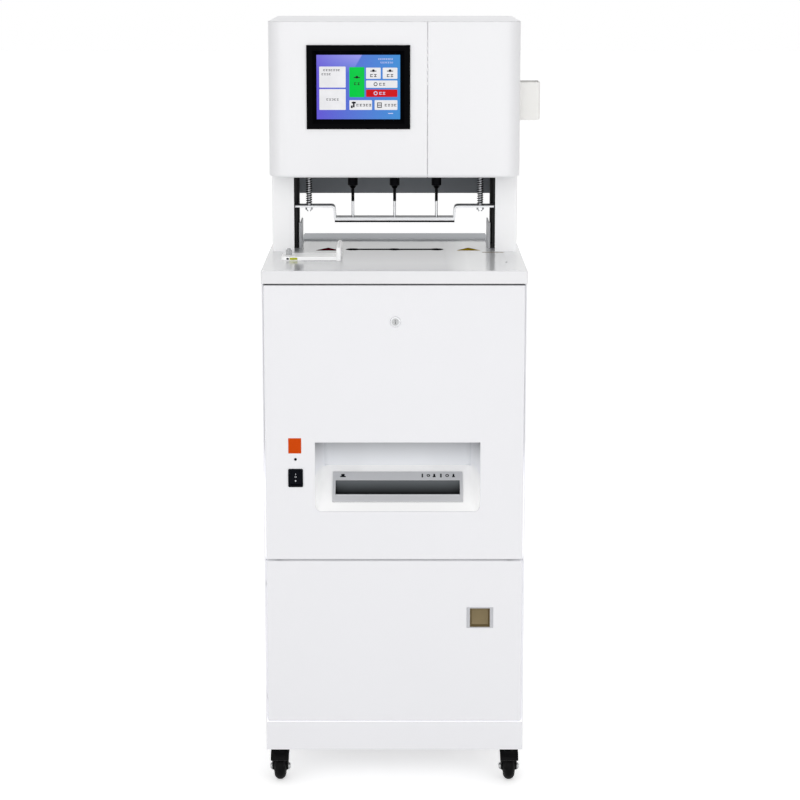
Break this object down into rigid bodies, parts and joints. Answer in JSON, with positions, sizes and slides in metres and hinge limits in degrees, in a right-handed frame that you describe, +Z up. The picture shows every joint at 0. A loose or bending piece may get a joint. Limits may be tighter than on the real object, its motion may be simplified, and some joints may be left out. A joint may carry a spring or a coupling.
{
  "type": "document riveting machine",
  "caption": "Floor-standing machine on casters that drills and rivets paper stacks under a motorised head, with a touch screen and a built-in shredder.",
  "frame": {"origin": "on the floor, under the middle of the machine's box (bottom centre)", "axes": "+Z up, the front with the screen and doors faces -Y, +X is the right side seen from the front"},
  "size_m": [0.511, 0.5226, 1.409],
  "materials": {
    "painted_steel": "satin",
    "glossy_table": "gloss",
    "moulded_white": "satin",
    "galvanised_steel": "matte",
    "black_steel": "satin",
    "bright_steel": "satin",
    "chrome_metal": "gloss",
    "cast_carriage": "matte",
    "grey_tray": "satin",
    "black_plastic": "satin",
    "screen_black": "gloss",
    "screen_glass": "gloss",
    "cream_plastic": "satin",
    "silver_plastic": "satin",
    "bronze_plastic": "satin",
    "rubber_black": "matte",
    "wheel_tread": "matte"
  },
  "bodies": {
    "root": {"base_pan": "painted_steel", "side_panels": "painted_steel", "rear_panel": "painted_steel", "inner_frame": "galvanised_steel", "mid_shelf": "galvanised_steel", "hinge_arms": "galvanised_steel", "table_top": "glossy_table", "rear_tray": "grey_tray", "drill_dies": "black_plastic", "pillars": "painted_steel", "guide_columns": "black_steel", "rear_beam": "black_steel", "head_shell": "painted_steel", "head_floor": "galvanised_steel", "head_front_cover": "moulded_white", "head_right_cover": "moulded_white", "screen_bezel": "screen_black", "screen_glass": "screen_glass", "tube_holder": "cream_plastic", "press_motor": "cast_carriage", "shredder_frame": "galvanised_steel", "shredder_motor": "black_steel", "waste_bin": "black_plastic", "power_inlet": "black_plastic", "caster_plates": "bright_steel"},
    "front_panel": {"upper_panel": "painted_steel", "shredder_mouth": "silver_plastic", "switch_and_lamp": "black_plastic", "lock_barrel": "chrome_metal"},
    "rocker": {"power_rocker": "black_plastic"},
    "cam": {"lock_cam": "bright_steel"},
    "door": {"lower_door": "painted_steel", "door_pull": "bronze_plastic"},
    "carriage": {"carriage_beam": "cast_carriage", "drive_racks": "bright_steel", "spindle_motor": "black_steel", "drive_belt": "rubber_black"},
    "presser": {"press_plate": "bright_steel", "press_rubber": "rubber_black", "guide_rods": "bright_steel", "press_springs": "black_steel"},
    "cross_shaft": {"drive_shaft": "bright_steel"},
    "left_spindle": {"spindle_left": "bright_steel", "drill_left": "bright_steel"},
    "middle_spindle": {"spindle_middle": "bright_steel", "drill_middle": "bright_steel"},
    "right_spindle": {"spindle_right": "bright_steel", "drill_right": "bright_steel"},
    "guide": {"side_guide": "moulded_white"},
    "knob": {"clamp_knob": "bright_steel"},
    "front_cutter": {"cutter_front": "bright_steel"},
    "rear_cutter": {"cutter_rear": "bright_steel"},
    "front_left_swivel": {"caster_fork_front_left": "black_steel"},
    "front_left_wheel": {"caster_wheel_front_left": "wheel_tread"},
    "front_right_swivel": {"caster_fork_front_right": "black_steel"},
    "front_right_wheel": {"caster_wheel_front_right": "wheel_tread"},
    "rear_left_swivel": {"caster_fork_rear_left": "black_steel"},
    "rear_left_wheel": {"caster_wheel_rear_left": "wheel_tread"},
    "rear_right_swivel": {"caster_fork_rear_right": "black_steel"},
    "rear_right_wheel": {"caster_wheel_rear_right": "wheel_tread"}
  },
  "joints": [
    {"name": "panel_hinge", "type": "hinge", "parent": "root", "child": "front_panel", "pos_m": [-0.0155, -0.254, 0.4395], "axis": [1, 0, 0], "range_deg": [0, 60]},
    {"name": "rocker_press", "type": "hinge", "parent": "front_panel", "child": "rocker", "pos_m": [-0.196, -0.254, 0.5888], "axis": [1, 0, 0], "range_deg": [0, 16]},
    {"name": "lock_turn", "type": "hinge", "parent": "front_panel", "child": "cam", "pos_m": [-0.0135, -0.249, 0.8779], "axis": [0, 1, 0], "range_deg": [0, 90]},
    {"name": "door_hinge", "type": "hinge", "parent": "root", "child": "door", "pos_m": [-0.2468, -0.254, 0.277], "axis": [0, 0, -1], "range_deg": [0, 95]},
    {"name": "carriage_slide", "type": "slide", "parent": "root", "child": "carriage", "axis": [0, 0, -1], "range_m": [0, 0.061]},
    {"name": "press_slide", "type": "slide", "parent": "root", "child": "presser", "axis": [0, 0, -1], "range_m": [0, 0.0531], "deforming": ["press_springs"]},
    {"name": "shaft_turn", "type": "hinge", "parent": "root", "child": "cross_shaft", "pos_m": [-0.0155, 0.116, 1.25], "axis": [1, 0, 0], "range_deg": [0, 175]},
    {"name": "guide_slide", "type": "slide", "parent": "root", "child": "guide", "axis": [1, 0, 0], "range_m": [-0.008, 0.025]},
    {"name": "knob_turn", "type": "hinge", "parent": "guide", "child": "knob", "pos_m": [-0.2125, -0.0985, 0.98], "axis": [0, 0, 1], "range_deg": [0, 180]},
    {"name": "front_cutter_spin", "type": "hinge", "parent": "root", "child": "front_cutter", "pos_m": [-0.0095, -0.18905, 0.49978], "axis": [1, 0, 0], "continuous": true},
    {"name": "rear_cutter_spin", "type": "hinge", "parent": "root", "child": "rear_cutter", "pos_m": [-0.0095, -0.15857, 0.52247], "axis": [1, 0, 0], "continuous": true},
    {"name": "left_spindle_spin", "type": "hinge", "parent": "carriage", "child": "left_spindle", "pos_m": [-0.0955, 0.03, 1.2], "axis": [0, 0, 1], "continuous": true},
    {"name": "middle_spindle_spin", "type": "hinge", "parent": "carriage", "child": "middle_spindle", "pos_m": [-0.0155, 0.03, 1.2], "axis": [0, 0, 1], "continuous": true},
    {"name": "right_spindle_spin", "type": "hinge", "parent": "carriage", "child": "right_spindle", "pos_m": [0.0645, 0.03, 1.2], "axis": [0, 0, 1], "continuous": true},
    {"name": "front_left_swivel_turn", "type": "hinge", "parent": "root", "child": "front_left_swivel", "pos_m": [-0.2305, -0.214, 0.06], "axis": [0, 0, 1], "continuous": true},
    {"name": "front_left_wheel_spin", "type": "hinge", "parent": "front_left_swivel", "child": "front_left_wheel", "pos_m": [-0.2305, -0.232, 0.025], "axis": [1, 0, 0], "continuous": true},
    {"name": "front_right_swivel_turn", "type": "hinge", "parent": "root", "child": "front_right_swivel", "pos_m": [0.1995, -0.214, 0.06], "axis": [0, 0, 1], "continuous": true},
    {"name": "front_right_wheel_spin", "type": "hinge", "parent": "front_right_swivel", "child": "front_right_wheel", "pos_m": [0.1995, -0.232, 0.025], "axis": [1, 0, 0], "continuous": true},
    {"name": "rear_left_swivel_turn", "type": "hinge", "parent": "root", "child": "rear_left_swivel", "pos_m": [-0.2305, 0.214, 0.06], "axis": [0, 0, 1], "continuous": true},
    {"name": "rear_left_wheel_spin", "type": "hinge", "parent": "rear_left_swivel", "child": "rear_left_wheel", "pos_m": [-0.2305, 0.196, 0.025], "axis": [1, 0, 0], "continuous": true},
    {"name": "rear_right_swivel_turn", "type": "hinge", "parent": "root", "child": "rear_right_swivel", "pos_m": [0.1995, 0.214, 0.06], "axis": [0, 0, 1], "continuous": true},
    {"name": "rear_right_wheel_spin", "type": "hinge", "parent": "rear_right_swivel", "child": "rear_right_wheel", "pos_m": [0.1995, 0.196, 0.025], "axis": [1, 0, 0], "continuous": true}
  ],
  "couplings": [
    {"joint": "press_slide", "follows": "carriage_slide", "ratio": 0.86885},
    {"joint": "shaft_turn", "follows": "carriage_slide", "rad_per_m": 50},
    {"joint": "left_spindle_spin", "follows": "middle_spindle_spin", "ratio": 1},
    {"joint": "right_spindle_spin", "follows": "middle_spindle_spin", "ratio": 1},
    {"joint": "rear_cutter_spin", "follows": "front_cutter_spin", "ratio": -1}
  ]
}
